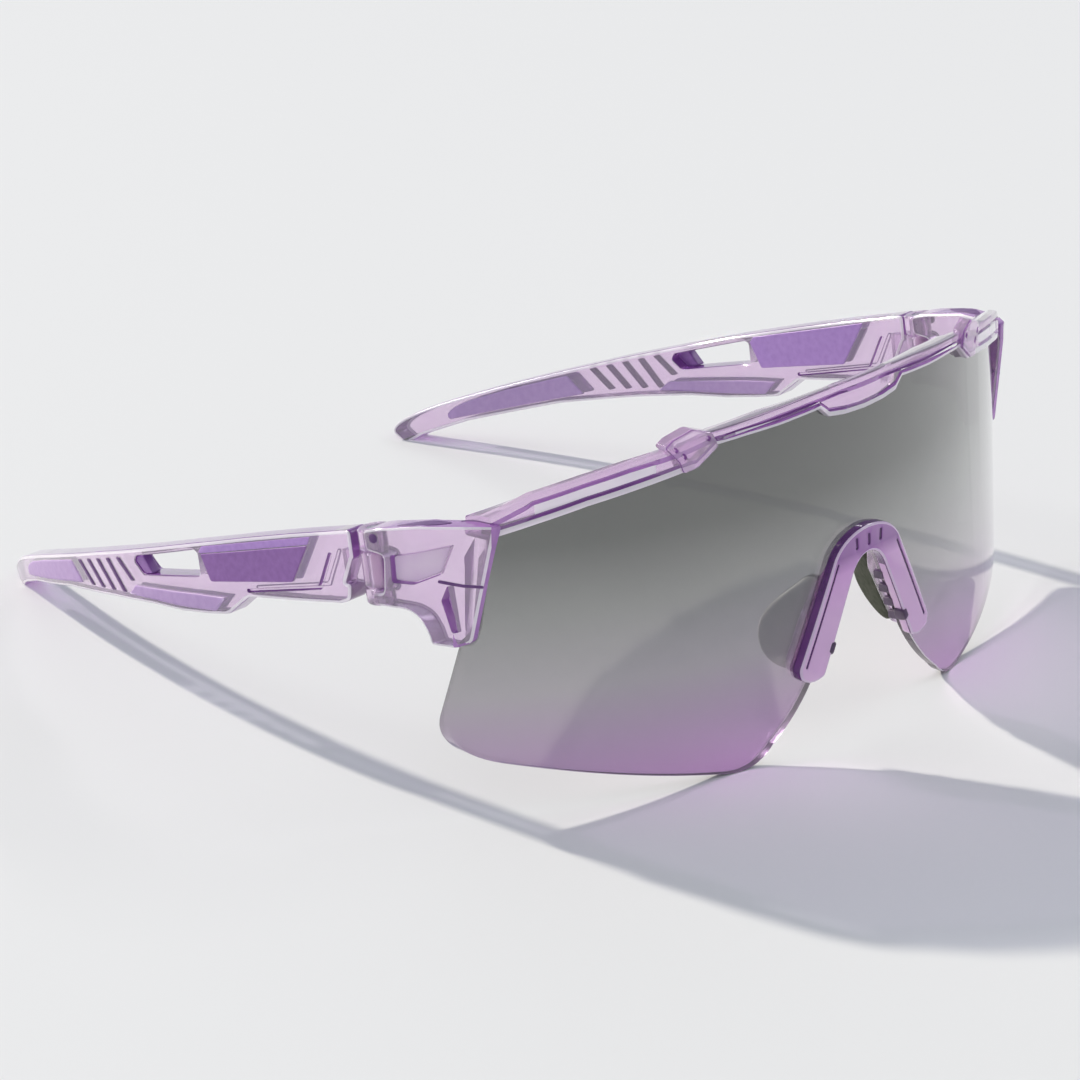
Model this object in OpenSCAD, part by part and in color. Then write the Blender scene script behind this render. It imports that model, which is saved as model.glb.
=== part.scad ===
// Wraparound sport sunglasses with a one-piece shield lens.
// Frame: +Z up, -Y to the front, +X to the wearer's left. The glasses stand open on z = 0,
// on the two lower lobes of the lens and on the two temple tips.

/* [Lens] */
// Outer radius of the cylindrical lens
lens_radius = 108; // [104:0.5:112]
// Thickness of the lens
lens_wall = 2; // [1.8:0.1:2.2]
// Front of the lens, measured from the foot of the side fins
lens_front = -23.75; // [-24.5:0.05:-23]
// Forward lean of the lens towards its lower edge, in degrees
lens_lean = 4; // [3.5:0.25:4.5]

/* [Brow frame] */
// Thickness of the brow bar in front of the lens
bar_lip = 1.3; // [1.2:0.1:1.6]
// Thickness of the brow bar behind the lens
bar_back = 0.9; // [0.8:0.1:1.2]
// How far the diamond bumps stand out of the bar
bump_rise = 0.6; // [0.4:0.1:1]
// Depth of the recesses in the bar and the lugs
recess_depth = 0.6; // [0.4:0.1:0.8]

/* [Temples] */
// Width across the outer faces of both temples
outer_width = 146.6; // [146:0.2:147]
// Thickness of a temple
temple_wall = 4.2; // [3.8:0.1:4.4]
// Slope of the temples down to their tips, in degrees
temple_pitch = 20.6; // [20.4:0.1:20.8]
// Radius of the temples' inward bend
bend_radius = 180; // [176:1:184]
// Depth of the badge plate's pocket
badge_pocket = 0.8; // [0.6:0.1:1.2]
// How far soft inserts stand out of the faces
insert_rise = 0.15; // [0.1:0.05:0.3]

/* [Hinges] */
// Backward lean of the hinge axes, in degrees
hinge_lean = 10; // [9:0.5:11]
// Radius of the hinge knuckles
knuckle_radius = 2.9; // [2.7:0.05:2.9]
// Radius of the hinge screws
screw_radius = 0.8; // [0.7:0.05:0.9]
// Running clearance of the screw in its bush
running_gap = 0.05; // [0.02:0.01:0.08]
// Gap between the temple and the lug's ears
ear_gap = 0.12; // [0.1:0.01:0.2]

/* [Nose piece] */
// Front wall of the nose clip
clip_lip = 2.4; // [1.8:0.1:3]
// Depth of the nose clip behind the lens
clip_back = 3.8; // [3:0.1:4.5]
// Radius of the nose pads' soft edges
pad_edge = 1.1; // [0.8:0.1:1.3]

/* [Hidden] */

// Half of the whole depth behind the foot of the fins, so the glasses are centred on y = 0
row_shift = -50.8;
// The whole design turns by this angle about the line where the tips rest
settle_angle = 0.6;
rest_y = 131;
lean_height = 50;
lens_inner = lens_radius - lens_wall;
bar_outer = lens_radius + bar_lip;
bar_inner = lens_inner - bar_back;
face_x = outer_width / 2;
// Start of the temple's own frame: u runs back along it, v is square to it
temple_start = [14.5, 38.5];
straight_u = 35;
hinge_centre = [70.5, 17, 40];
// Heights of the tongue and of the ears along the hinge axis
tongue_low = -3.3;
tongue_high = 2.5;
ear_low = -6.2;
ear_high = 6.2;
bush_radius = 1.4;
head_radius = 1.5;
head_height = 0.8;
nut_radius = 1.85;
nut_height = 1;
tall = 90;
round_fn = 256;
small_fn = 48;

// ---- curves ----
function bend(a, b, c, n = 6) =
  [for (i = [0:n]) let (t = i / n) (1 - t) * (1 - t) * a + 2 * t * (1 - t) * b + t * t * c];
function arc(centre, r, from, to, n) =
  [for (i = [0:n]) let (a = from + (to - from) * i / n) centre + r * [cos(a), sin(a)]];
function flip(points) = [for (i = [len(points) - 1:-1:0]) [-points[i][0], points[i][1]]];

// ---- placing ----
module left() {
  translate([0, row_shift + rest_y, 0]) rotate([settle_angle, 0, 0]) translate([0, -rest_y, 0])
    children();
}
module right() { mirror([1, 0, 0]) left() children(); }
module hinge_frame() { translate(hinge_centre) rotate([-hinge_lean, 0, 0]) children(); }
module temple_frame() {
  translate([0, temple_start[0], temple_start[1]]) rotate([-temple_pitch, 0, 0]) children();
}

// ---- basic solids ----
// Outline in x and z, run along y over the front half
module front_prism(points) {
  translate([0, 30, 0]) rotate([90, 0, 0]) linear_extrude(height = 70) polygon(points);
}
// Outline in y and z, run along x
module side_prism(points, low = 40, high = 90) {
  translate([low, 0, 0]) rotate([90, 0, 90]) linear_extrude(height = high - low) polygon(points);
}
// Part of a tube round the lens's axis
module shell(outer, inner) {
  translate([0, lens_front, lean_height]) rotate([-lens_lean, 0, 0])
    translate([0, lens_radius, -lean_height - 10]) difference() {
      cylinder(r = outer, h = tall, $fn = round_fn);
      translate([0, 0, -1]) cylinder(r = inner, h = tall + 2, $fn = round_fn);
    }
}
// Both halves of a front outline given for x > 0
function both(points) = concat(points, flip(points));

// ---- lens ----
lens_half = concat(
  [[20, 61.1], [32, 59.8], [38, 57], [53, 54], [60, 51.8]],
  bend([66.2, 51], [66.6, 34], [71.2, 18]),
  bend([71.2, 18], [72.6, 11.8], [64, 9.6]),
  bend([64, 9.6], [46, 4.4], [30.1, 1.75], 5),
  arc([28.5, 10.62], 9, -80, -140, 6),
  bend([21.6, 4.8], [15.6, 9.2], [12, 15.2], 4),
  bend([5.4, 30.6], [3.8, 35.2], [0, 35.2], 4)
);
module lens_blank() {
  intersection() {
    shell(lens_radius, lens_inner);
    front_prism(both(lens_half));
  }
}
module lens() { color([0.45, 0.42, 0.48, 0.6]) lens_blank(); }

// ---- brow frame ----
bar_low = [[67.5, 47.4], [65.2, 48.4], [59.5, 50.1], [52.7, 52], [45.5, 53.5], [38, 55],
  [35.4, 55.4], [31.6, 58.6], [26, 59], [19.5, 59.3], [10.6, 60], [8.6, 58.2], [5, 57.7], [0, 57.5]];
// The front wall stands higher than the back wall
bar_front = concat([[0, 63.1], [6, 63.1], [14, 62.7], [20, 62.2], [30, 61.2], [33, 61], [36, 60.2],
  [39, 59.5], [46, 58.4], [53, 56.9], [60, 55], [67.5, 51.2]], bar_low);
bar_rear = concat([[0, 61.6], [7, 61.6], [20, 61.3], [30, 60.2], [37, 58.4], [47, 56.8], [57, 54.1],
  [67.5, 50.4]], bar_low);
bump_half = [[31.7, 58.8], [32.8, 61.4], [36, 62.2], [39.4, 61], [40.8, 59.6], [38.6, 57.2],
  [38, 55.2], [35.6, 55.6]];
outer_panel = [[43.6, 54.9], [43.8, 57.2], [52.6, 55.3], [60.6, 52.9], [60.8, 51], [52.6, 53.2]];
inner_panel = [[4, 60.9], [4, 62.1], [20, 61.2], [29.6, 60.3], [29.8, 59.3], [20, 60.1]];
module bar() {
  difference() {
    union() {
      intersection() {
        shell(bar_outer, lens_radius - 1);
        front_prism(both(bar_front));
      }
      intersection() {
        shell(lens_radius - 0.9, bar_inner);
        front_prism(both(bar_rear));
      }
      for (side = [0, 1]) mirror([side, 0, 0]) intersection() {
        shell(bar_outer + bump_rise, lens_radius - 1);
        front_prism(bump_half);
      }
    }
    for (side = [0, 1], panel = [outer_panel, inner_panel]) mirror([side, 0, 0]) intersection() {
      shell(bar_outer + 2, bar_outer - recess_depth);
      front_prism(panel);
    }
  }
}
lug_plan = [[64.6, -4.6], [66.6, -3.6], [69.3, 0], [71.6, 6], [72.9, 13], [73.35, 17], [73.35, 20],
  [67.65, 20], [67.8, 13], [67.2, 6], [66, 2.4], [64, 1.2]];
// Inside edge of the lens channel down the side of the lens
lens_view = [[40, 47.5], [65.3, 49.6], [66.4, 44.3], [67.8, 31], [68, 20], [40, 20]];
lug_side = concat(
  [[-4.2, 50.7], [0, 50.5], [7.2, 49.4], [15, 47.3], [18.1, 46.2], [15.94, 34]],
  bend([10.8, 34.5], [6.4, 35], [5.2, 29.6], 5),
  [[1.5, 29.6], [-1.2, 30.9]]
);
lug_recess = [[1.8, 47.1], [12.6, 43.2], [12.2, 38.7], [8.1, 39.3], [3.5, 41.9]];
fin_slot = [[2.4, 40], [3.4, 37.4], [1.7, 32.3], [0.9, 32.5]];
ridge = [[-3.4, 41.6], [-3.4, 42.6], [3.2, 42], [3.2, 41.1]];
module lug_blank(grow = 0) {
  intersection() {
    translate([grow, 0, 28]) linear_extrude(height = 26) polygon(lug_plan);
    side_prism(lug_side);
  }
}
module lug() {
  difference() {
    union() {
      lug_blank();
      intersection() {
        translate([0.4, 0, 0]) lug_blank();
        side_prism(ridge);
      }
      hinge_frame() translate([0, 0, ear_low])
        cylinder(r = knuckle_radius, h = ear_high - ear_low, $fn = small_fn);
    }
    // Fork for the temple's tongue
    hinge_frame() translate([0, 0, tongue_low - ear_gap])
      cylinder(r = knuckle_radius + ear_gap, h = tongue_high - tongue_low + 2 * ear_gap,
        $fn = small_fn);
    hinge_frame() translate([-5, 0, tongue_low - ear_gap])
      cube([10, 8, tongue_high - tongue_low + 2 * ear_gap]);
    // Screw hole, head seat and nut pocket
    hinge_frame() translate([0, 0, ear_low - 1])
      cylinder(r = screw_radius, h = ear_high - ear_low + 2, $fn = small_fn);
    hinge_frame() translate([0, 0, ear_high - head_height])
      cylinder(r = head_radius, h = 3, $fn = small_fn);
    hinge_frame() translate([0, 0, ear_low - 2])
      cylinder(r = nut_radius, h = nut_height + 2, $fn = 6);
    // Side recess and slot
    intersection() {
      side_prism(lug_recess);
      translate([5 - recess_depth * 1.5, 0, 0]) lug_blank(0.001);
    }
    side_prism(fin_slot, 68.2, 80);
    front_prism(lens_view);
  }
}
module brow_frame() {
  color([0.88, 0.77, 0.9, 0.7]) difference() {
    union() {
      bar();
      for (side = [0, 1]) mirror([side, 0, 0]) lug();
    }
    lens_blank();
  }
}

// ---- nose piece ----
clip_outline = concat(
  bend([0, 37.6], [5.8, 37.4], [8.4, 33.8], 4),
  [[17.2, 16.6]],
  bend([16.8, 15], [14.6, 13.2], [11.6, 14.4], 3),
  bend([4.6, 29], [3, 32.8], [0, 32.8], 4)
);
// Side view of the clip: the crown is only a lip, the legs are deep
clip_side = [[-34, 8], [-34, 42], [-24.3, 42], [-23.6, 35], [-22, 31.5], [-18.6, 27], [-17, 8]];
module nose_bridge() {
  color([0.72, 0.42, 0.8]) difference() {
    intersection() {
      shell(lens_radius + clip_lip, lens_inner - clip_back);
      front_prism(both(clip_outline));
      side_prism(clip_side, -30, 30);
    }
    lens_blank();
  }
}
// Corners of a pad, from its top down the rear edge and back along its foot
pad_corners = [[7, -20.6, 28.4], [9.6, -16.8, 25.2], [12, -15, 21.4], [13.3, -15.4, 17.8],
  [13.4, -18.2, 16.1], [12.6, -21, 16]];
module nose_pad() {
  color([0.7, 0.5, 0.78]) hull() for (corner = pad_corners)
    translate(corner) sphere(r = pad_edge, $fn = 20);
}

// ---- temples ----
temple_outline = concat(
  [[0, 8.7], [8, 9], [18, 9.5], [30, 9.9], [45, 10.2], [73, 10.3], [88, 10.1], [100, 9.8]],
  bend([108, 9.4], [121.6, 8.6], [121, 5.6], 5),
  [[119.4, 2.8], [116, 3.9], [107, 4.6], [88, 4.1], [71, 2.2], [59, 0.5], [51, -1.1]],
  [[44, -2], [38.6, -2.5], [32.4, 0], [21, -1.6], [10.6, -2.9], [8, -2.6], [6.9, 0]],
  [[8.2, 0.3], [5.2, 4], [2, 4.2]]
);
window_outline = [[43.2, 4.5], [42.4, 8.4], [43.2, 9], [60.4, 9], [61.2, 8.2], [59.4, 5.8]];
step_outline = [[57, 5.65], [59.4, 5.8], [61.2, 8.2], [60.4, 9], [58.6, 9]];
badge_outline = [[13.3, 8.6], [40.7, 9.5], [41.9, 8.6], [40.6, 3.4], [20.4, 1.6]];
grip_outline = [[37.9, 0.4], [45, 1.6], [63, 4.1], [65.8, 2.7], [50.6, -0.3], [41.4, -1.7]];
tip_outline = concat(
  [[84.6, 9.2], [98, 9]],
  bend([105, 8.6], [111.4, 7.8], [110, 5.7], 4),
  [[104, 5.5], [92, 5.2], [82, 4.9]]
);
groove_outline = [[9.3, 5.4], [10, 5.7], [14.5, 0.5], [32.2, 1.4], [32.2, 0.8], [14, -0.2]];
rib_count = 5;
rib_step = 3.65;
rib_width = 1.2;
// Each rib leans forward at its foot, and the front one is shorter
function rib_outline(k) = let (u = 80.6 - rib_step * k, low = k < rib_count - 1 ? 4.4 - 0.5 * k : 4.8)
  [[u, 9.2], [u + rib_width, 9.2], [u + rib_width - 3.1, low], [u - 3.1, low]];

// Slab that follows the temple's bend, between two offsets from its outer face
module band(out, inn) {
  translate([0, 0, -12]) {
    translate([face_x - inn, -6, 0]) cube([inn + out, straight_u + 6, 30]);
    intersection() {
      translate([face_x - bend_radius, straight_u, 0]) difference() {
        cylinder(r = bend_radius + out, h = 30, $fn = round_fn * 2);
        translate([0, 0, -1]) cylinder(r = bend_radius - inn, h = 32, $fn = round_fn * 2);
      }
      translate([20, straight_u, -1]) cube([70, 110, 32]);
    }
  }
}
// Temple-shaped slab with the given outline in u and v
module slab(points, out = 0, inn = temple_wall) {
  intersection() {
    band(out, inn);
    side_prism(points, 20, 90);
  }
}
module temple() {
  color([0.88, 0.77, 0.9, 0.7]) difference() {
    union() {
      difference() {
        temple_frame() slab(temple_outline);
        // Room for the lug's ears
        hinge_frame() translate([0, 0, tongue_high])
          cylinder(r = knuckle_radius + ear_gap, h = 10, $fn = small_fn);
        hinge_frame() translate([0, 0, tongue_low - 10])
          cylinder(r = knuckle_radius + ear_gap, h = 10, $fn = small_fn);
        // Cheeks beside the tongue
        for (side = [-1, 1]) hinge_frame() translate([side > 0 ? 1.2 : -6.2, -2, tongue_low])
          cube([5, 5.2, tongue_high - tongue_low]);
      }
      hinge_frame() translate([0, 0, tongue_low])
        cylinder(r = knuckle_radius, h = tongue_high - tongue_low, $fn = small_fn);
      hinge_frame() translate([-1.2, 0, tongue_low]) cube([2.4, 7, tongue_high - tongue_low]);
    }
    hinge_frame() translate([0, 0, tongue_low - 1])
      cylinder(r = bush_radius, h = tongue_high - tongue_low + 2, $fn = small_fn);
    temple_frame() {
      slab(window_outline, 1, temple_wall + 1);
      slab(badge_outline, 1, badge_pocket);
      slab(groove_outline, 1, 0.5);
      slab(grip_outline, 1, temple_wall + 1);
      slab(tip_outline, 1, temple_wall + 1);
      for (k = [0:rib_count - 1]) slab(rib_outline(k), 1, temple_wall + 1);
    }
    // Flat under the tip, level once the design is settled
    translate([0, rest_y, 0]) rotate([-settle_angle, 0, 0])
      translate([0, -60, -10]) cube([90, 90, 10]);
  }
}
module badge_plate() {
  color([0.55, 0.36, 0.68]) temple_frame() slab(badge_outline, insert_rise, badge_pocket);
}
module lower_grip() {
  color([0.78, 0.62, 0.86])
    temple_frame() slab(grip_outline, insert_rise, temple_wall + insert_rise);
}
module grip_ribs() {
  color([0.5, 0.3, 0.6]) temple_frame() for (k = [0:rib_count - 1])
    slab(rib_outline(k), insert_rise, temple_wall + insert_rise);
}
module tip_pad() {
  color([0.74, 0.58, 0.84])
    temple_frame() slab(tip_outline, insert_rise, temple_wall + insert_rise);
}
module window_step() {
  color([0.45, 0.28, 0.55]) temple_frame() slab(step_outline, 0, temple_wall);
}

// ---- hinge hardware ----
module hinge_bush() {
  color([0.8, 0.7, 0.5]) hinge_frame() translate([0, 0, tongue_low]) difference() {
    cylinder(r = bush_radius, h = tongue_high - tongue_low, $fn = small_fn);
    translate([0, 0, -1])
      cylinder(r = screw_radius + running_gap, h = tongue_high - tongue_low + 2, $fn = small_fn);
  }
}
module hinge_screw() {
  color([0.75, 0.75, 0.78]) hinge_frame() difference() {
    union() {
      translate([0, 0, ear_low + 0.1])
        cylinder(r = screw_radius, h = ear_high - head_height - ear_low, $fn = small_fn);
      translate([0, 0, ear_high - head_height])
        cylinder(r = head_radius, h = head_height - 0.1, $fn = small_fn);
    }
    // Driver slot
    translate([-2, -0.2, ear_high - 0.5]) cube([4, 0.4, 2]);
  }
}
module hinge_nut() {
  color([0.7, 0.7, 0.72]) hinge_frame() translate([0, 0, ear_low]) difference() {
    cylinder(r = nut_radius, h = nut_height, $fn = 6);
    translate([0, 0, -1]) cylinder(r = screw_radius, h = nut_height + 2, $fn = small_fn);
  }
}

left() brow_frame();
left() lens();
left() nose_bridge();
left() nose_pad();  // nose_pad_left
right() nose_pad();  // nose_pad_right
left() temple();  // left_temple
left() badge_plate();  // left_badge_plate
left() lower_grip();  // left_lower_grip
left() grip_ribs();  // left_grip_ribs
left() tip_pad();  // left_tip_pad
left() window_step();  // left_window_step
left() hinge_bush();  // left_hinge_bush
left() hinge_screw();  // left_hinge_screw
left() hinge_nut();  // left_hinge_nut
right() temple();  // right_temple
right() badge_plate();  // right_badge_plate
right() lower_grip();  // right_lower_grip
right() grip_ribs();  // right_grip_ribs
right() tip_pad();  // right_tip_pad
right() window_step();  // right_window_step
right() hinge_bush();  // right_hinge_bush
right() hinge_screw();  // right_hinge_screw
right() hinge_nut();  // right_hinge_nut
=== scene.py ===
import math
import bmesh
import bpy
from mathutils import Matrix, Vector


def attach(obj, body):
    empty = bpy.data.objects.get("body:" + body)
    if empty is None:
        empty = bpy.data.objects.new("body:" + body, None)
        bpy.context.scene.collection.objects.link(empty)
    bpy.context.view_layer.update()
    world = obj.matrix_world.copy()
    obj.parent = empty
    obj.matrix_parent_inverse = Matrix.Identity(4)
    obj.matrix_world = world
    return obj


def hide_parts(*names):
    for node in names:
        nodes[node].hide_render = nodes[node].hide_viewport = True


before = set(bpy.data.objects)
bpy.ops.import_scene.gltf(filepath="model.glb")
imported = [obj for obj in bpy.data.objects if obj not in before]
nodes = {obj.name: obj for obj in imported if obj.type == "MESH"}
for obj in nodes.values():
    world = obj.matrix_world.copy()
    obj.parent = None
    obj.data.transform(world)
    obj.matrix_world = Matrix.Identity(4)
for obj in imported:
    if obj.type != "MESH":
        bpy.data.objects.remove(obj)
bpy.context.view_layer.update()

rad = math.radians

# ================================================================ placing
# Shapes are given in the CAD part's design frame, in millimetres.
SHIFT, SETTLE, REST = -50.8, rad(0.6), 131.0
RADIUS, FRONT, LEAN, PIVOT, LENS_WALL = 108.0, -23.75, rad(4), 50.0, 2.0
FACE, BEND, STRAIGHT, PITCH, WALL = 73.3, 180.0, 35.0, rad(20.6), 4.2
TEMPLE_START = (14.5, 38.5)
HINGE, HINGE_LEAN = (70.5, 17.0, 40.0), rad(10)
KNUCKLE, EAR_HIGH, EAR_GAP, TONGUE_LOW, TONGUE_HIGH = 2.9, 6.2, 0.12, -3.3, 2.5
LUG_DEPTH, RISE = 5, 0.15


def place(x, y, z):
    """Design millimetres to row metres."""
    a, c, s = y - REST, math.cos(SETTLE), math.sin(SETTLE)
    return Vector((x, REST + a * c - z * s + SHIFT, a * s + z * c)) / 1000


def on_lens(x, z, w):
    """Point w behind the lens's front surface whose front view is (x, z)."""
    r = RADIUS - w
    y = RADIUS - math.sqrt(r * r - x * x)
    h = (z - PIVOT + y * math.sin(LEAN)) / math.cos(LEAN)
    return place(x, FRONT + y * math.cos(LEAN) + h * math.sin(LEAN), z)


def on_temple(side):
    """Mapping of (u, v, w): u back along the temple, v square to it, w in from its face."""
    def fit(u, v, w):
        x = FACE - w
        if u > STRAIGHT:
            x = FACE - BEND + math.sqrt((BEND - w) ** 2 - (u - STRAIGHT) ** 2)
        c, s = math.cos(PITCH), math.sin(PITCH)
        p = place(side * x, TEMPLE_START[0] + u * c + v * s, TEMPLE_START[1] - u * s + v * c)
        p.z = max(p.z, 0)
        return p
    return fit


def lerp(points, t):
    """Value at t of a piecewise straight line of (t, value) pairs."""
    for (a, p), (b, q) in zip(points, points[1:]):
        if t <= b:
            return p + (q - p) * max(0, (t - a) / (b - a))
    return points[-1][1]


LUG_OUT = [(-4.4, 65.0), (-3.6, 66.6), (0, 69.3), (6, 71.6), (13, 72.9), (17, 73.35), (30, 73.35)]
LUG_IN = [(-4.4, 64.4), (1.2, 64.0), (2.4, 66.0), (6, 67.2), (13, 67.8), (30, 67.6)]


def on_lug(side):
    """Mapping of (y, z, w) on the lug: w runs from its outer face to its inner one at LUG_DEPTH.

    In front of the fin's foot the inner face follows the lens's own border.
    """
    def fit(y, z, w):
        out, inn = lerp(LUG_OUT, y), lerp(LUG_IN, y)
        if y < 2:
            inn = max(inn, lerp([(31, 67.4), (44.3, 66.0), (49.6, 64.9)], z))
            out = max(out, inn + 0.3)
        return place(side * (out + (inn - out) * w / LUG_DEPTH), y, z)
    return fit


def on_hinge(side):
    """Mapping of (x, y, z) about the middle of a hinge, with z along its axis."""
    def fit(x, y, z):
        c, s = math.cos(HINGE_LEAN), math.sin(HINGE_LEAN)
        return place(side * (HINGE[0] + x), HINGE[1] + y * c + z * s, HINGE[2] - y * s + z * c)
    return fit


# ================================================================ outlines
def bend(a, b, c, n=8):
    """Curve from a to c that leaves and arrives along the lines to b."""
    return [tuple((1 - t) ** 2 * p + 2 * t * (1 - t) * q + t * t * r for p, q, r in zip(a, b, c))
            for t in (i / n for i in range(n + 1))]


def arc(centre, r, start, end, n=10):
    """Part of a circle between two angles in degrees."""
    return [(centre[0] + r * math.cos(rad(a)), centre[1] + r * math.sin(rad(a)))
            for a in (start + (end - start) * i / n for i in range(n + 1))]


def mirrored(half):
    """Closed outline from its half with x >= 0."""
    other = [(-x, z) for x, z in reversed(half) if x > 1e-6]
    return half + other


def turned(points):
    """The outline anticlockwise, without repeated points."""
    out = [p for i, p in enumerate(points) if math.dist(p, points[i - 1]) > 1e-4]
    area = sum(a[0] * b[1] - b[0] * a[1] for a, b in zip(out, out[1:] + out[:1]))
    return out if area > 0 else out[::-1]


def rounded(points, r, n=4):
    """Corners sharper than 20 degrees become short bends."""
    pts, out = turned(points), []
    for i, p in enumerate(pts):
        a, b = Vector(pts[i - 1]) - Vector(p), Vector(pts[(i + 1) % len(pts)]) - Vector(p)
        if a.angle(-b) < rad(20):
            out.append(p)
            continue
        k = min(r, a.length * 0.45, b.length * 0.45)
        out += bend(tuple(Vector(p) + a.normalized() * k), p, tuple(Vector(p) + b.normalized() * k), n)
    return turned(out)


def inset(points, d):
    """The outline moved in by d, with mitred corners."""
    out = []
    for i, p in enumerate(points):
        e = (Vector(p) - Vector(points[i - 1])).normalized()
        f = (Vector(points[(i + 1) % len(points)]) - Vector(p)).normalized()
        m, n = Vector((-e.y, e.x)), Vector((-f.y, f.x))
        k = (m + n) / max(1 + m.dot(n), 0.5)
        out.append((p[0] + k.x * d, p[1] + k.y * d))
    return out


# ================================================================ solids
def finish_object(name, bm, fit, mats, body, slot, stands_for=(), keep=32):
    """Places the flat-built mesh with fit, and makes it a named piece that rides on body.

    Edges sharper than keep degrees stay crisp.
    """
    bmesh.ops.remove_doubles(bm, verts=bm.verts, dist=1e-4)
    for v in bm.verts:
        v.co = fit(*v.co)
    bmesh.ops.recalc_face_normals(bm, faces=bm.faces)
    if bm.calc_volume(signed=True) < 0:
        bmesh.ops.reverse_faces(bm, faces=bm.faces)
    mesh = bpy.data.meshes.new(name)
    bm.to_mesh(mesh)
    bm.free()
    mesh.shade_smooth()
    mesh.set_sharp_from_angle(angle=rad(keep))
    for mat in mats:
        mesh.materials.append(mat)
    ob = bpy.data.objects.new(name, mesh)
    bpy.context.collection.objects.link(ob)
    flat = ob.modifiers.new("flat_faces", "WEIGHTED_NORMAL")
    flat.keep_sharp = True
    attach(ob, body)
    if stands_for:
        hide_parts(*stands_for)
    return ob


def ring(bm, points, w):
    """Vertices of the outline at depth w."""
    return [bm.verts.new((p[0], p[1], w)) for p in points]


def wall(bm, a, b, finish=0):
    """Faces between two rings, with the material number finish."""
    n = len(a)
    for i in range(n):
        bm.faces.new((a[i], a[(i + 1) % n], b[(i + 1) % n], b[i])).material_index = finish


def cap(bm, loops):
    """Flat face inside the first ring and outside the others."""
    edges = []
    for loop in loops:
        for i, v in enumerate(loop):
            w = loop[(i + 1) % len(loop)]
            edges.append(bm.edges.get((v, w)) or bm.edges.new((v, w)))
    bmesh.ops.triangle_fill(bm, use_beauty=True, use_dissolve=False, edges=edges)


def soft_rings(bm, points, w0, w1, edge, way, lip=0):
    """Rings of a wall from w0 to w1 whose two ends are rounded over by edge.

    The rounding takes the material number lip, where a painted highlight goes, and the wall between takes 1.
    """
    rings = []
    for k in range(4):
        a = rad(30 * k)
        rings.append((way * edge * (1 - math.sin(a)), w0 + edge * (1 - math.cos(a))))
    rings += [(d, w0 + w1 - w) for d, w in reversed(rings)]
    made = [ring(bm, inset(points, d), w) for d, w in rings]
    for i, (a, b) in enumerate(zip(made, made[1:])):
        wall(bm, a, b, 1 if 2 <= i <= 4 else lip)
    return made[0], made[-1]


def plate(name, outline, w0, w1, fit, mat, body, slot, edge=0.4, corner=0.6, holes=(), pockets=(),
          back_pockets=(), cuts=(), stands_for=(), rim=None, rim_at=None, deep=None, lip=None,
          highlight_at=None):
    """A moulded plate: rounded rim, through holes, and pockets (outline, depth) in its faces.

    The walls are of the material rim where rim_at says so, a painted shade on most pieces, and the
    rounding is of lip, a painted highlight, where highlight_at says so. Faces that deep picks are of rim
    too. Cuts are extra lines that let the plate bend.
    """
    bm = bmesh.new()
    front, rear = soft_rings(bm, rounded(outline, corner), w0, w1, edge, 1, 2 if lip else 0)
    tops, ends = [front], [rear]
    for h in holes:
        a, b = soft_rings(bm, rounded(h, corner * 0.7), w0, w1, edge * 0.7, -1)
        tops.append(a)
        ends.append(b)
    for faces, start, sign, given in ((tops, w0, 1, pockets), (ends, w1, -1, back_pockets)):
        for points, depth in given:
            pts, soft = rounded(points, 0.35), 0.14
            steps = [(-soft, 0), (-soft * 0.3, soft * 0.3), (0, soft), (0, depth - soft), (soft, depth)]
            made = [ring(bm, inset(pts, d), start + sign * w) for d, w in steps]
            for i, (a, b) in enumerate(zip(made, made[1:])):
                wall(bm, a, b, int(i > 1))
            faces.append(made[0])
            cap(bm, [made[-1]])
    cap(bm, tops)
    cap(bm, ends)
    for f in bm.faces:
        if f.material_index == 1 and (not rim or (rim_at and not rim_at(f.calc_center_median()))):
            f.material_index = 0
        if highlight_at and f.material_index == 2 and not highlight_at(f.calc_center_median()):
            f.material_index = 0
    for c in cuts:
        bmesh.ops.bisect_plane(bm, geom=bm.verts[:] + bm.edges[:] + bm.faces[:],
                               plane_co=(c, 0, 0), plane_no=(1, 0, 0), dist=1e-5)
    for f in bm.faces:
        if deep and deep(f.calc_center_median()):
            f.material_index = 1
    mats = (mat, rim or mat, lip) if lip else (mat, rim) if rim else (mat,)
    return finish_object(name, bm, fit, mats, body, slot, stands_for)


def lathe(name, profile, fit, mat, body, slot, steps=40):
    """A turned piece: profile is a closed line of (radius, height) along the axis."""
    bm = bmesh.new()
    turns = [(math.cos(2 * math.pi * i / steps), math.sin(2 * math.pi * i / steps)) for i in range(steps)]
    loops = [[bm.verts.new((r * c, r * s, h)) for c, s in turns] for r, h in profile]
    for a, b in zip(loops, loops[1:]):
        wall(bm, a, b)
    return finish_object(name, bm, fit, (mat,), body, slot)


# ================================================================ materials
def nodes_of(name):
    """A new material, its node tree, its shader and its output."""
    mat = bpy.data.materials.new(name)
    mat.use_nodes = True
    nt = mat.node_tree
    return mat, nt, nt.nodes["Principled BSDF"], nt.nodes["Material Output"]


def grain(nt, shader, scale, strength, distance):
    """Faint unevenness of a moulded surface."""
    coord = nt.nodes.new("ShaderNodeTexCoord")
    noise = nt.nodes.new("ShaderNodeTexNoise")
    noise.inputs["Scale"].default_value = scale
    noise.inputs["Detail"].default_value = 3
    nt.links.new(coord.outputs["Object"], noise.inputs["Vector"])
    bump = nt.nodes.new("ShaderNodeBump")
    bump.inputs["Strength"].default_value = strength
    bump.inputs["Distance"].default_value = distance
    nt.links.new(noise.outputs["Fac"], bump.inputs["Height"])
    nt.links.new(bump.outputs[0], shader.inputs["Normal"])
    return noise


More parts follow.
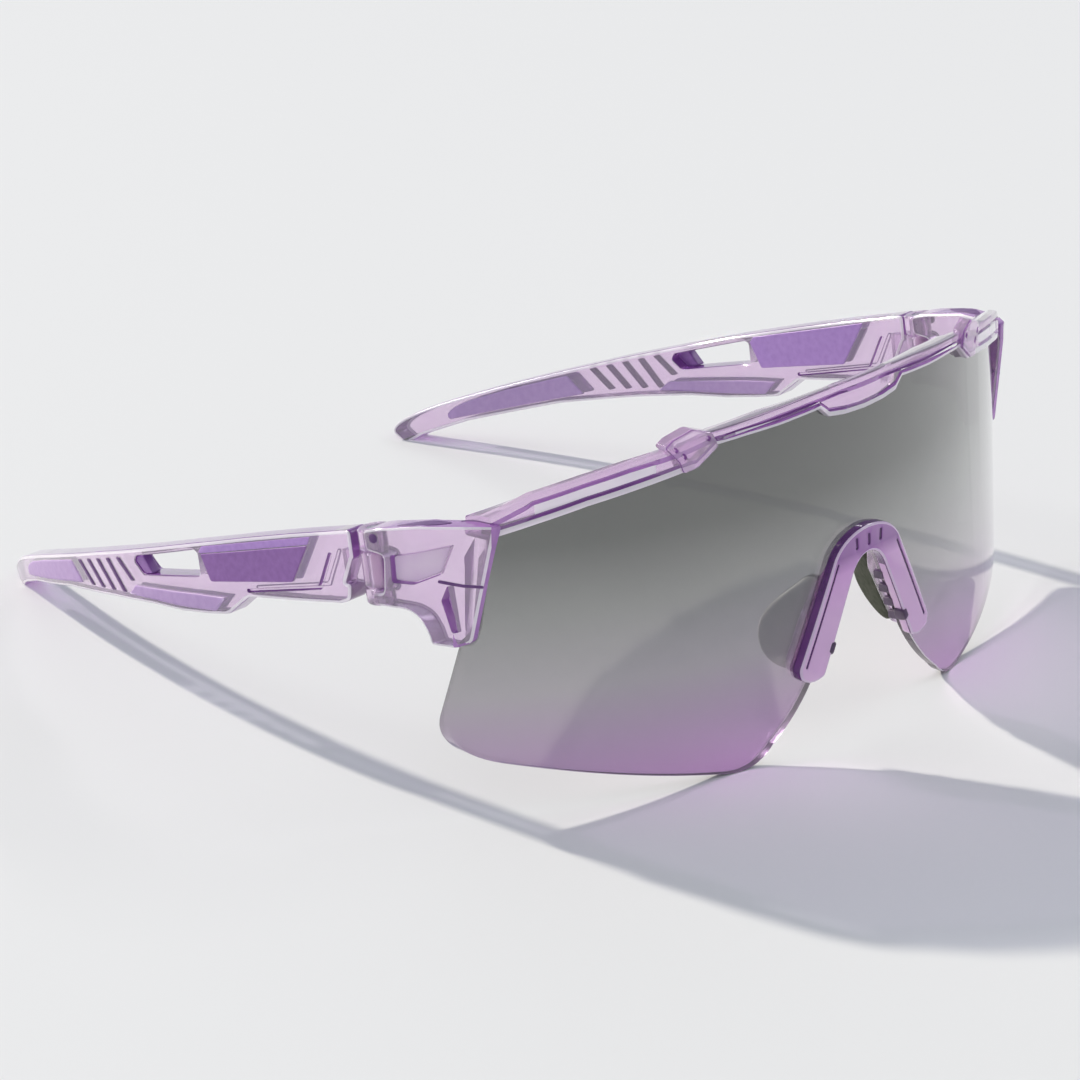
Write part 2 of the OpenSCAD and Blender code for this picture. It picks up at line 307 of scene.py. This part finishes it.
def light_through(nt, shader, out, shade):
    """Lamps shine through the clear moulding with this tint."""
    thin = nt.nodes.new("ShaderNodeBsdfTransparent")
    thin.inputs["Color"].default_value = (*shade, 1)
    path = nt.nodes.new("ShaderNodeLightPath")
    mix = nt.nodes.new("ShaderNodeMixShader")
    nt.links.new(path.outputs["Is Shadow Ray"], mix.inputs[0])
    nt.links.new(shader.outputs[0], mix.inputs[1])
    nt.links.new(thin.outputs[0], mix.inputs[2])
    nt.links.new(mix.outputs[0], out.inputs["Surface"])


def two_tints(nt, shader, noise, tint_a, tint_b):
    """Cloudy change between two tints in the base colour."""
    ramp = nt.nodes.new("ShaderNodeValToRGB")
    ramp.color_ramp.elements[0].position = 0.3
    ramp.color_ramp.elements[0].color = (*tint_a, 1)
    ramp.color_ramp.elements[1].position = 0.7
    ramp.color_ramp.elements[1].color = (*tint_b, 1)
    nt.links.new(noise.outputs["Fac"], ramp.inputs[0])
    nt.links.new(ramp.outputs[0], shader.inputs["Base Color"])


def clear(name, tint_a, tint_b, rough, shade, through=0.8, density=0):
    """Clear coloured plastic, which absorbs light along its depth if it has a density."""
    mat, nt, b, out = nodes_of(name)
    b.inputs["Roughness"].default_value = rough
    b.inputs["IOR"].default_value = 1.38
    b.inputs["Transmission Weight"].default_value = through
    b.inputs["Coat Weight"].default_value = 0.8
    b.inputs["Coat IOR"].default_value = 1.7
    b.inputs["Coat Roughness"].default_value = 0.04
    light_through(nt, b, out, shade)
    two_tints(nt, b, grain(nt, b, 160, 0.03, 0.0004), tint_a, tint_b)
    if density:
        vol = nt.nodes.new("ShaderNodeVolumeAbsorption")
        vol.inputs["Color"].default_value = (*DEPTH_TINT, 1)
        vol.inputs["Density"].default_value = density
        nt.links.new(vol.outputs[0], out.inputs["Volume"])
    return mat


def height_ramp(nt, stops, low, high):
    """Colour by height above the floor."""
    coord = nt.nodes.new("ShaderNodeTexCoord")
    sep = nt.nodes.new("ShaderNodeSeparateXYZ")
    nt.links.new(coord.outputs["Object"], sep.inputs[0])
    level = nt.nodes.new("ShaderNodeMapRange")
    level.inputs["From Min"].default_value = low
    level.inputs["From Max"].default_value = high
    nt.links.new(sep.outputs["Z"], level.inputs["Value"])
    ramp = nt.nodes.new("ShaderNodeValToRGB")
    e = ramp.color_ramp.elements
    e[0].position, e[0].color = stops[0][0], (*stops[0][1], 1)
    e[1].position, e[1].color = stops[-1][0], (*stops[-1][1], 1)
    for p, c in stops[1:-1]:
        e.new(p).color = (*c, 1)
    nt.links.new(level.outputs[0], ramp.inputs[0])
    return ramp


def lens_glass():
    """Mirror-coated glass, smoky at the top and lilac at the bottom; its darkest top is partly a painted dark
    reflection.
    """
    mat, nt, b, out = nodes_of("tinted_lens")
    b.inputs["Roughness"].default_value = 0.02
    b.inputs["IOR"].default_value = 1.5
    b.inputs["Transmission Weight"].default_value = 1
    b.inputs["Coat Weight"].default_value = 1
    b.inputs["Coat IOR"].default_value = 1.95
    b.inputs["Coat Roughness"].default_value = 0.02
    light_through(nt, b, out, (0.30, 0.26, 0.34))
    # Gradient tint from lilac at the bottom to smoke at the top; the darkest top stops also paint a dark
    # reflection
    stops = [(0.0, (0.45, 0.24, 0.52)), (0.16, (0.41, 0.28, 0.46)), (0.34, (0.36, 0.34, 0.37)),
             (0.56, (0.22, 0.226, 0.22)), (0.76, (0.065, 0.07, 0.063)), (1.0, (0.04, 0.043, 0.038))]
    ramp = height_ramp(nt, stops, 0.0, 0.058)
    nt.links.new(ramp.outputs[0], b.inputs["Base Color"])
    return mat


def rubber(name, tint_a, tint_b, rough, shine=0.4, through=0.25):
    """Soft translucent rubber."""
    mat, nt, b, out = nodes_of(name)
    b.inputs["Roughness"].default_value = rough
    b.inputs["Transmission Weight"].default_value = through
    b.inputs["Specular IOR Level"].default_value = shine
    two_tints(nt, b, grain(nt, b, 900, 0.12, 0.0002), tint_a, tint_b)
    return mat


def metal(name, tint, rough):
    """Turned metal whose roughness varies a little."""
    mat, nt, b, out = nodes_of(name)
    b.inputs["Metallic"].default_value = 1
    b.inputs["Base Color"].default_value = (*tint, 1)
    noise = grain(nt, b, 1500, 0.1, 0.0001)
    level = nt.nodes.new("ShaderNodeMapRange")
    level.inputs["To Min"].default_value = rough * 0.7
    level.inputs["To Max"].default_value = rough * 1.4
    nt.links.new(noise.outputs["Fac"], level.inputs["Value"])
    nt.links.new(level.outputs[0], b.inputs["Roughness"])
    return mat


SHADE, BAR_SHADE, CLIP_SHADE, RAIL_SHADE = ((0.50, 0.49, 0.55), (0.32, 0.31, 0.36), (0.35, 0.30, 0.40),
                                            (0.42, 0.40, 0.46))
DEPTH_TINT = (0.80, 0.42, 0.86)
FRAME = clear("clear_frame", (0.93, 0.74, 0.95), (0.97, 0.82, 0.98), 0.03, SHADE, density=40)
BAR = clear("clear_bar", (0.92, 0.70, 0.94), (0.97, 0.80, 0.98), 0.03, BAR_SHADE, density=40)
# Painted shade: dark purple for the walls of grooves, rims and pockets in the clear moulding
EDGE_SHADE = clear("clear_frame_edge_shade", (0.28, 0.09, 0.40), (0.38, 0.14, 0.50), 0.12, SHADE, through=0.5)
# Painted highlight: pale bands along the rounded edges of the clear moulding
LIP_HIGHLIGHT = clear("clear_frame_lip_highlight", (0.98, 0.90, 0.99), (1.0, 0.95, 1.0), 0.06, SHADE, through=0.3)
FROST = clear("clear_frosted", (0.88, 0.66, 0.92), (0.97, 0.80, 0.98), 0.1, SHADE, through=0.35)
NOSE = clear("nose_clip", (0.96, 0.66, 0.98), (0.99, 0.80, 1.0), 0.04, CLIP_SHADE, through=0.25)
# Painted shade: dark walls on the clip's outer sides and in its crown's grooves
NOSE_EDGE_SHADE = clear("nose_clip_edge_shade", (0.11, 0.02, 0.17), (0.20, 0.05, 0.28), 0.1, CLIP_SHADE, through=0.4)
# Painted highlight: lighter bands along the clip's rounded edges
NOSE_LIP_HIGHLIGHT = clear("nose_clip_lip_highlight", (0.93, 0.66, 0.97), (0.97, 0.78, 0.99), 0.06, CLIP_SHADE, through=0.25)
# Painted shade: the clip's crown is darker than its legs, standing for its dark refractions, and lighter
# again at its very top
crown = height_ramp(NOSE.node_tree, [(0.0, (1.0, 0.64, 1.0)), (0.45, (0.93, 0.52, 0.96)),
                                     (0.62, (0.40, 0.15, 0.50)), (0.85, (0.52, 0.22, 0.62)),
                                     (1.0, (0.74, 0.44, 0.80))], 0.022, 0.038)
NOSE.node_tree.links.new(crown.outputs[0], NOSE.node_tree.nodes["Principled BSDF"].inputs["Base Color"])
LENS = lens_glass()
LENS_RIM = rubber("lens_rim", (0.11, 0.085, 0.11), (0.15, 0.12, 0.15), 0.2)
# Painted shade: darker purple for the lug's walls, its recess sides and its front rail
PAINTED_LUG_SHADE = clear("clear_rail_shade", (0.42, 0.17, 0.54), (0.56, 0.27, 0.68), 0.12, RAIL_SHADE, through=0.35)
SOFT = rubber("soft_grip", (0.62, 0.41, 0.77), (0.69, 0.48, 0.83), 0.42)
PAD = rubber("nose_pad", (0.72, 0.73, 0.68), (0.80, 0.80, 0.76), 0.35, 0.3, 0.1)
# Painted shade: near-black for the pads' inner half and walls
PAD_SHADE = rubber("nose_pad_shade", (0.06, 0.066, 0.045), (0.10, 0.105, 0.08), 0.6, 0.05, 0)
BADGE = rubber("badge_plate", (0.33, 0.14, 0.47), (0.41, 0.19, 0.56), 0.3)
BEVEL = rubber("badge_bevel", (0.56, 0.32, 0.80), (0.64, 0.38, 0.88), 0.25)
TRIM = rubber("dark_trim", (0.14, 0.05, 0.22), (0.20, 0.08, 0.28), 0.35)
DARK = rubber("nose_slot", (0.09, 0.05, 0.11), (0.14, 0.08, 0.17), 0.3)
STEEL = metal("screw_steel", (0.62, 0.58, 0.66), 0.28)
BRASS = metal("bush_brass", (0.66, 0.50, 0.60), 0.35)

# ================================================================ camera
cam_data = bpy.data.cameras.new("Camera")
cam_data.lens, cam_data.sensor_width = 136.59, 36
cam_data.clip_start, cam_data.clip_end = 0.05, 20
cam = bpy.data.objects.new("Camera", cam_data)
bpy.context.collection.objects.link(cam)
bpy.context.scene.camera = cam
AZ, EL = rad(-47.47), rad(22.04)
settle = Matrix.Rotation(SETTLE, 3, "X")
back = settle @ Vector((math.sin(AZ) * math.cos(EL), -math.cos(AZ) * math.cos(EL), math.sin(EL)))
right = settle @ Vector((math.cos(AZ), math.sin(AZ), 0))
pose = Matrix((right, back.cross(right), back)).transposed().to_4x4()
pose.translation = place(-496.9, -408.6, 287.7)
cam.matrix_world = pose

# ================================================================ stage and light
bpy.context.scene.view_settings.view_transform = "Standard"
world = bpy.data.worlds.new("studio")
bpy.context.scene.world = world
world.use_nodes = True
sky = world.node_tree
sky_out = sky.nodes["Background"]
sky_dir = sky.nodes.new("ShaderNodeTexCoord")
sky_sep = sky.nodes.new("ShaderNodeSeparateXYZ")
sky_ramp = sky.nodes.new("ShaderNodeValToRGB")
sky.links.new(sky_dir.outputs["Generated"], sky_sep.inputs[0])
sky.links.new(sky_sep.outputs["Z"], sky_ramp.inputs[0])
sky_ramp.color_ramp.elements[0].position = 0.0
sky_ramp.color_ramp.elements[0].color = (0.78, 0.81, 0.88, 1)
sky_ramp.color_ramp.elements[1].position = 1.0
sky_ramp.color_ramp.elements[1].color = (0.56, 0.60, 0.69, 1)
sky.links.new(sky_ramp.outputs[0], sky_out.inputs["Color"])
sky_out.inputs["Strength"].default_value = 0.68


def flat_floor():
    """The plain pale floor."""
    bm = bmesh.new()
    bmesh.ops.create_grid(bm, x_segments=2, y_segments=2, size=3)
    mesh = bpy.data.meshes.new("floor")
    bm.to_mesh(mesh)
    bm.free()
    ob = bpy.data.objects.new("floor", mesh)
    bpy.context.collection.objects.link(ob)
    mat, nt, b, out = nodes_of("floor")
    b.inputs["Base Color"].default_value = (0.79, 0.795, 0.80, 1)
    b.inputs["Roughness"].default_value = 0.6
    mesh.materials.append(mat)


flat_floor()
LAMP_DISTANCE = 1.6


def lamp(name, kind, energy, direction, **facts):
    """A lamp that shines from the given direction at the object."""
    data = bpy.data.lights.new(name, kind)
    data.energy = energy
    for k, v in facts.items():
        setattr(data, k, v)
    ob = bpy.data.objects.new(name, data)
    bpy.context.collection.objects.link(ob)
    ob.rotation_mode = "QUATERNION"
    ob.rotation_quaternion = direction.to_track_quat("Z", "Y")
    ob.location = direction * LAMP_DISTANCE
    return ob


def toward(az, el):
    """Direction at an azimuth and a height, in degrees."""
    az, el = rad(az), rad(el)
    return Vector((math.cos(az) * math.cos(el), math.sin(az) * math.cos(el), math.sin(el)))


lamp("key", "SUN", 2.85, toward(95, 32), angle=rad(2.5), color=(1.0, 0.95, 0.84))
lamp("rear_strip", "AREA", 3.2, toward(115, 43), shape="RECTANGLE", size=0.9, size_y=0.12)
lamp("front_strip", "AREA", 2.4, toward(-28, 38), shape="RECTANGLE", size=0.8, size_y=0.1)

# ================================================================ lens
# Right half of the front view, from the middle of the top round to the nose arch
lens_half = ([(0, 58), (5, 58.2), (8.4, 58.7), (10.4, 60.4), (19.5, 59.7), (26, 59.4), (31.8, 59),
              (35.6, 55.8), (38, 55.4), (45.5, 53.9), (52.7, 52.4), (59.5, 50.5), (64.5, 49.2),
              (65.5, 44.3), (66.8, 33), (67.4, 31.4), (68.2, 30.4), (69.5, 25), (71.2, 18)]
             + bend((71.2, 18), (72.6, 11.8), (64, 9.6), 14) + bend((64, 9.6), (46, 4.4), (30.1, 1.75), 16)
             + arc((28.5, 10.62), 9, -80, -140, 12) + bend((21.6, 4.8), (15.6, 9.2), (12, 15.2), 10)
             + bend((5.4, 30.6), (3.8, 35.2), (0, 35.2), 10))
# The rounded edges along the nose arch take painted highlight
plate("shield_lens", mirrored(lens_half), 0, LENS_WALL, on_lens, LENS, "front", "tinted_lens", edge=0.25,
      corner=0.2, cuts=[k * 2.4 for k in range(-29, 30)], stands_for=["lens"], rim=LENS_RIM,
      rim_at=lambda c: abs(c.x) < 62 or c.y < 10, lip=LIP_HIGHLIGHT, highlight_at=lambda c: abs(c.x) < 27 and 2.6 < c.y < 40)

# ================================================================ brow bar
# Heights of the bar against the distance from the middle: front of the top, its rear, and the underside
top_front = [(0, 63.1), (6, 63.1), (14, 62.7), (20, 62.2), (30, 61.2), (33, 61), (36, 60.2), (39, 59.5),
             (46, 58.4), (53, 56.9), (60, 55), (67.5, 50.9)]
top_rear = [(0, 61.6), (7, 61.6), (20, 61.3), (30, 60.2), (37, 58.4), (47, 56.8), (57, 54.1), (67.5, 50.4)]
low_line = [(0, 57.5), (5, 57.7), (8.6, 58.2), (10.6, 60), (19.5, 59.3), (26, 59), (31.6, 58.6), (35.4, 55.4),
            (38, 55), (45.5, 53.5), (52.7, 52), (59.5, 50.1), (65.2, 48.4), (67.5, 47.4)]
bar_flutes = [(0, 0), (3.5, 0), (4.5, 1), (29, 1), (30.4, 0), (41.4, 0), (42.4, 1), (60, 1), (61.4, 0),
              (70, 0)]
bar_low_flute = [(0, 0.9), (9, 0.9), (11, 0.55), (30, 0.55), (36, 1.1), (70, 1.1)]
BAR_END = 67.2


def brow_bar():
    """Swept along x: two fine grooves run along the front between the bumps and the lugs."""
    bm = bmesh.new()
    marks = sorted({p[0] for p in low_line} | {k * 2.0 for k in range(34)} | {30.4, 41.4, 42.4, 61.4})
    marks = [m for i, m in enumerate(marks) if i == 0 or m - marks[i - 1] > 0.35]
    stations = [-m for m in reversed(marks[1:]) if m < BAR_END] + [m for m in marks if m < BAR_END]
    loops, open_band = [], []
    for x in stations:
        a = abs(x)
        zt, zr, zb = lerp(top_front, a), lerp(top_rear, a), lerp(low_line, a)
        g, low = lerp(bar_flutes, a), lerp(bar_low_flute, a)
        foot = zb + low
        sec = [(1.0, zb), (1.22, zb + 0.12), (1.3, zb + 0.35), (1.3, foot), (1.3 - 0.5 * g, foot + 0.18),
               (1.3 - 0.5 * g, foot + 0.4), (1.3 - 0.2 * g, foot + 0.6), (1.3 - 0.2 * g, zt - 1.8),
               (1.3 - 0.6 * g, zt - 1.55), (1.3 - 0.6 * g, zt - 1.2), (1.3, zt - 0.95), (1.3, zt - 0.4),
               (1.2, zt - 0.15), (0.95, zt), (-0.2, zt - 0.15), (-2.4, zr), (-2.75, zr - 0.12),
               (-2.9, zr - 0.45), (-2.9, zb + 0.4), (-2.75, zb + 0.1), (-2.45, zb)]
        loops.append([bm.verts.new((x, z, -w)) for w, z in sec])
        open_band.append(g > 0.5 and a > 11.5)
    # Painted shade on the groove walls (faces 3-5, 7-9) and the top rear corner (faces 15-16); painted
    # highlight on the underside and lower lip (faces 0-2, 19-20) and, where the grooves are open, on the
    # panel between them (face 6)
    for k, (a, b) in enumerate(zip(loops, loops[1:])):
        pale = (0, 1, 2, 6, 19, 20) if open_band[k] and open_band[k + 1] else (0, 1, 2, 19, 20)
        for i in range(len(a)):
            f = bm.faces.new((a[i], a[(i + 1) % len(a)], b[(i + 1) % len(a)], b[i]))
            f.material_index = 1 if i in (3, 4, 5, 7, 8, 9, 15, 16) else 2 if i in pale else 0
    cap(bm, [loops[0]])
    cap(bm, [loops[-1]])
    return finish_object("brow_bar", bm, on_lens, (BAR, EDGE_SHADE, LIP_HIGHLIGHT), "front", "clear_frame",
                         ["brow_frame"], 24)


brow_bar()
bump_dots = [[(38.6, 59.1), (39.3, 59.9), (39.8, 59.6), (39.1, 58.8)],
             [(37.6, 57.4), (38.3, 58.2), (38.0, 58.7), (37.3, 57.9)],
             [(33.0, 60.3), (33.7, 60.9), (34.1, 60.2), (33.4, 59.7)]]
bump_face = [(31.7, 58.7), (32.8, 61.2), (36.1, 62.2), (39.5, 60.9), (40.8, 59.8), (38.5, 57.2), (37.9, 55.2),
             (35.6, 55.7)]
for side, word in ((1, "left"), (-1, "right")):
    # The front part of the bump's walls and the walls of its dots' pockets take painted shade
    plate(f"{word}_brow_bump", [(side * x, z) for x, z in bump_face], -1.95, 0.6, on_lens, FRAME, "front",
          "clear_frame", edge=0.35, corner=0.5, rim=EDGE_SHADE, rim_at=lambda c: c.z < -1.2,
          pockets=[([(side * a, b) for a, b in dot], 0.5) for dot in bump_dots])

# ================================================================ lugs and hinges
lug_top_line = [(-4.2, 50.7), (0, 50.5), (7.2, 49.4), (15, 47.3), (18.1, 46.2)]
lug_side = (lug_top_line + [(17.4, 42.9), (13.9, 42.8), (13.9, 36.5), (16.2, 36.0), (15.94, 34)]
            + bend((10.8, 34.5), (6.4, 35), (5.2, 29.6), 8) + [(1.5, 29.6), (-1.2, 30.9)])
lug_recess = [(1.8, 47.1), (12.6, 43.2), (12.2, 38.7), (8.1, 39.3), (3.5, 41.9)]
fin_slot = [(2.5, 40.2), (3.5, 37.4), (1.8, 32.2), (0.8, 32.4)]
top_leaf_shades = [[(12.6, 1.1), (9, 0.6), (5, 1.0), (2.6, 2.4), (5.5, 3.9), (9, 3.3)],
              [(2.6, 4.0), (-0.4, 4.3), (-3.6, 4.4), (-0.6, 3.6), (2.2, 3.4)]]
for side, word in ((1, "left"), (-1, "right")):
    # The lug's walls, the sides of its recess and slot, and its front rail take painted shade; its rounded
    # edges take painted highlight
    plate(f"{word}_lug", lug_side, 0, LUG_DEPTH, on_lug(side), FRAME, "front", "clear_frame", edge=0.45,
          corner=0.8, pockets=[(lug_recess, 1.1), (fin_slot, 2.2)], lip=LIP_HIGHLIGHT, rim=PAINTED_LUG_SHADE,
          cuts=[-3.6, -2.7, -1.6, 0, 1.2, 2.4, 4, 6, 8, 10, 13, 17],
          deep=lambda c: c.x < -3.6 or (c.x < 1.6 and c.y < 30.9))
    plate(f"{word}_lug_panel", inset(turned(lug_recess), 0.3), 0.75, 1.3, on_lug(side), FROST, "front",
          "clear_frame", edge=0.1, corner=0.4, cuts=[4, 6, 8, 10])
    plate(f"{word}_lug_ridge", [(3.9, 40.9), (-2.6, 40.7), (-2.6, 40.2), (3.9, 40.4)], -0.14, 0.3,
          on_lug(side), TRIM, "front", "dark_trim", edge=0.08, corner=0.2, cuts=[0, 1.2, 2.4])
    plate(f"{word}_lug_pin", arc((15.8, 45.4), 0.8, 0, 345, 23), -0.1, 0.3, on_lug(side), TRIM, "front",
          "dark_trim", edge=0.1, corner=0.1)

    def lug_top(y, t, d, lug=on_lug(side)):
        """Mapping of (y, t, d) on the lug's top: t runs inwards and d down."""
        return lug(y, lerp(lug_top_line, y) - d, t)

    # Painted shade: dark leaves standing for the shade in leaf-shaped recesses near the lug's top
    for k, leaf in enumerate(top_leaf_shades):
        plate(f"{word}_lug_leaf_shade_{k + 1}", leaf, -0.08, 0.3, lug_top, TRIM, "front", "dark_trim", edge=0.06,
              corner=1.2)
    hinge = on_hinge(side)
    for part, z0, z1 in (("upper_ear", TONGUE_HIGH + EAR_GAP, EAR_HIGH),
                         ("lower_ear", -EAR_HIGH, TONGUE_LOW - EAR_GAP)):
        lathe(f"{word}_{part}",
              [(1.5, z0), (KNUCKLE - 0.3, z0), (KNUCKLE, z0 + 0.3), (KNUCKLE, z1 - 0.3),
               (KNUCKLE - 0.3, z1), (1.5, z1), (1.5, z0)], hinge, FRAME, "front", "clear_frame")
    z0, z1 = TONGUE_LOW, TONGUE_HIGH
    lathe(f"{word}_tongue",
          [(1.42, z0), (KNUCKLE - 0.25, z0), (KNUCKLE, z0 + 0.25), (KNUCKLE, z1 - 0.25),
           (KNUCKLE - 0.25, z1), (1.42, z1), (1.42, z0)], hinge, FRAME, f"{word}_arm", "clear_temple")
    plate(f"{word}_neck", [(-1.2, 1.6), (1.2, 1.6), (1.2, 6.4), (-1.2, 6.4)], z0 + 0.1, z1 - 0.1, hinge,
          FRAME, f"{word}_arm", "clear_temple", edge=0.3, corner=0.2)

# ================================================================ nose piece
clip_half = (bend((0, 37.6), (5.8, 37.4), (8.4, 33.8)) + [(17.2, 16.6)]
             + bend((16.8, 15), (14.6, 13.2), (11.6, 14.4), 5) + bend((4.6, 29), (3, 32.8), (0, 32.8)))


def clip_fit(x, z, w):
    """The crown is a shallow lip and the legs are deep."""
    deep = min(1, max(0.3, (36 - z) / 9))
    return on_lens(x, z, w * deep if w > 0 else w)


def outer_wall(c):
    """Whether a point of the clip is on the outer side of its leg, where the wall takes painted shade."""
    inner, outer = 4.6 + 0.479 * (29 - c.y), 8.4 + 0.512 * (33.8 - c.y)
    return c.z < -1.1 or c.y > 28 or abs(c.x) > (inner + outer) / 2


clip_lines = [[(x - 0.4, 36.0), (x + 0.4, 36.0), (x * 0.95 + 0.35, 34.0), (x * 0.95 - 0.35, 34.0)]
              for x in (-3.2, 0, 3.2)]
for side in (1, -1):
    clip_lines.append([(side * x, z) for x, z in [(7.5, 32.6), (7.9, 32.8), (15.9, 16.9), (15.5, 16.6)]])
# The clip's outer walls and its groove walls take painted shade, and its rounded edges painted highlight
plate("nose_clip", mirrored(clip_half), -1.5, 0.7, clip_fit, NOSE, "front", "nose_clip", edge=0.45,
      corner=0.8, pockets=[(line, 0.4) for line in clip_lines], stands_for=["nose_bridge"],
      cuts=[k * 2.0 for k in range(-8, 9)], rim=NOSE_EDGE_SHADE, rim_at=outer_wall, lip=NOSE_LIP_HIGHLIGHT)
clip_back = (bend((0, 36.9), (5.2, 36.7), (7.6, 33.4)) + [(16.0, 17.0)]
             + bend((15.6, 15.4), (14.4, 14.2), (12.4, 15.2), 5) + bend((4.7, 29), (3.1, 32.7), (0, 32.7)))
plate("nose_clip_back", mirrored(clip_back), 0.5, 3.9, clip_fit, FRAME, "front", "nose_clip", edge=0.5,
      corner=0.8, cuts=[k * 2.0 for k in range(-8, 9)])


def leg_wall(side):
    """Mapping of (s, t, w) on a leg's inner wall: s down the leg, t back, w out into the gap."""
    def fit(s, t, w):
        x, z = 4.95 + 0.432 * s, 28.2 - 0.902 * s
        return on_lens(side * (x - 0.902 * w), z - 0.432 * w, t)
    return fit


for side, word in ((1, "left"), (-1, "right")):
    for k in range(4):
        a = 1.2 + 3.1 * k
        slot_line = [(a, 0.2), (a + 1.9, 0.7), (a + 2.2, 2.7), (a + 0.3, 2.2)]
        plate(f"{word}_nose_slot_{k + 1}", slot_line, -0.5, 0.06, leg_wall(side), DARK, "front", "nose_clip",
              edge=0.05, corner=0.3)
    plate(f"{word}_nose_peg", [(9.4, -1.6), (11.6, -1.6), (12.2, 0.2), (11.6, 0.9), (9.6, 0.6)], -0.9, 0.35,
          leg_wall(side), DARK, "front", "nose_clip", edge=0.3, corner=0.6)
pad_line = [(-20.9, 29.2), (-18.9, 29.3), (-15.8, 25.8), (-13.9, 23.1), (-13.7, 20), (-15.2, 17.1),
            (-17.8, 15.2), (-20.6, 14.6), (-22.4, 16.5)]
for side, word in ((1, "left"), (-1, "right")):
    def pad_fit(y, z, w, side=side):
        """Mapping of (y, z, w) on a pad: w runs out from the pad's middle surface."""
        return place(side * (28.45 + 0.379 * y - 0.474 * z + w), y, z)

    # The pad's inner half and its walls take painted shade
    plate(f"{word}_pad", pad_line, -1.1, 1.1, pad_fit, PAD, "front", "nose_pad", edge=1.0, corner=1.6,
          stands_for=[f"nose_pad_{word}"], rim=PAD_SHADE, deep=lambda c: c.z < 0.2)

# ================================================================ temples
# Outlines on the temple: back along it, and up square to it
temple_outline = ([(3.8, 8.8), (8, 9), (18, 9.5), (30, 9.9), (45, 10.2), (73, 10.3), (88, 10.1), (100, 9.8)]
                  + bend((108, 9.4), (121.6, 8.6), (121, 5.6), 8)
                  + [(119.4, 2.8), (116, 3.9), (107, 4.6), (88, 4.1), (71, 2.2), (59, 0.5), (51, -1.1),
                     (44, -2), (38.6, -2.5), (32.4, 0), (21, -1.6), (10.6, -2.9), (8, -2.6), (6.9, 0),
                     (8.2, 0.3), (5.2, 3.9), (4.7, 4.2)])
window = [(43.2, 4.5), (42.4, 8.4), (43.2, 9), (60.4, 9), (61.2, 8.2), (59.4, 5.8)]
step_line = [(57, 5.7), (59.4, 5.8), (61.2, 8.2), (60.4, 9), (58.6, 9)]
badge_low = [(14.6, 7.2), (41.5, 8.2), (40.6, 3.4), (20.4, 1.6)]
badge_whole = [(13.3, 8.6), (40.7, 9.5), (41.9, 8.6), (40.6, 3.4), (20.4, 1.6)]
badge_high = [(13.3, 8.6), (40.7, 9.5), (41.9, 8.6), (41.5, 8.3), (14.5, 7.3)]
grip_line = [(37.9, 0.4), (45, 1.6), (63, 4.1), (65.8, 2.7), (50.6, -0.3), (41.4, -1.7)]
tip_line = ([(84.6, 9.2), (98, 9)] + bend((105, 8.6), (111.4, 7.8), (110, 5.7), 6)
            + [(104, 5.5), (92, 5.2), (82, 4.9)])
groove = [(9.3, 5.4), (10, 5.7), (14.5, 0.5), (32.2, 1.4), (32.2, 0.8), (14, -0.2)]
for side, word in ((1, "left"), (-1, "right")):
    fit, arm = on_temple(side), f"{word}_arm"
    steps = [1 + 2.6 * k for k in range(47)]
    # The bar's walls and the sides of its window and groove take painted shade, and its rounded edges painted
    # highlight
    plate(f"{word}_temple_bar", temple_outline, 0, WALL, fit, FRAME, arm, "clear_temple", edge=0.55,
          corner=0.9, holes=[window], pockets=[(groove, 0.6)], back_pockets=[(groove, 0.5)], cuts=steps,
          stands_for=[f"{word}_temple"], rim=EDGE_SHADE, rim_at=lambda c: c.x > 9 or c.x < 5.4, lip=LIP_HIGHLIGHT)
    plate(f"{word}_badge", badge_low, -RISE, 0.9, fit, BADGE, arm, "badge_plate", edge=0.15, corner=0.4,
          cuts=steps, stands_for=[f"{word}_badge_plate"])
    plate(f"{word}_badge_bevel", badge_high, -0.05, 0.9, fit, BEVEL, arm, "badge_plate", edge=0.15,
          corner=0.3, cuts=steps)
    for part, line, rise, mat, slot, edge, corner in (
            ("badge_inside", badge_whole, 0.1, BEVEL, "badge_plate", 0.15, 0.4),
            ("tip_inside", tip_line, 0.12, SOFT, "soft_grip", 0.3, 0.6),
            ("grip_inside", grip_line, 0.1, SOFT, "soft_grip", 0.3, 0.5)):
        plate(f"{word}_{part}", line, WALL - 0.6, WALL + rise, fit, mat, arm, slot, edge=edge,
              corner=corner, cuts=steps)
    plate(f"{word}_grip", grip_line, -RISE, 1.3, fit, SOFT, arm, "soft_grip", edge=0.35, corner=0.5,
          cuts=steps, stands_for=[f"{word}_lower_grip"])
    plate(f"{word}_tip", tip_line, -RISE, 1.3, fit, SOFT, arm, "soft_grip", edge=0.4, corner=0.6,
          cuts=steps, stands_for=[f"{word}_tip_pad"])
    plate(f"{word}_step", step_line, 0.3, 2.2, fit, BADGE, arm, "dark_trim", edge=0.3, corner=0.4,
          stands_for=[f"{word}_window_step"])
    for k in range(5):
        u, low = 80.6 - 3.65 * k, 4.4 - 0.5 * k if k < 4 else 4.8
        plate(f"{word}_rib_{k + 1}", [(u, 9.2), (u + 1.2, 9.2), (u - 1.9, low), (u - 3.1, low)], -RISE, 0.9,
              fit, TRIM, arm, "dark_trim", edge=0.3, corner=0.3, cuts=steps,
              stands_for=[f"{word}_grip_ribs"] if k == 0 else ())
    for part, mat in (("hinge_screw", STEEL), ("hinge_nut", STEEL), ("hinge_bush", BRASS)):
        data = nodes[f"{word}_{part}"].data
        data.materials.clear()
        data.materials.append(mat)
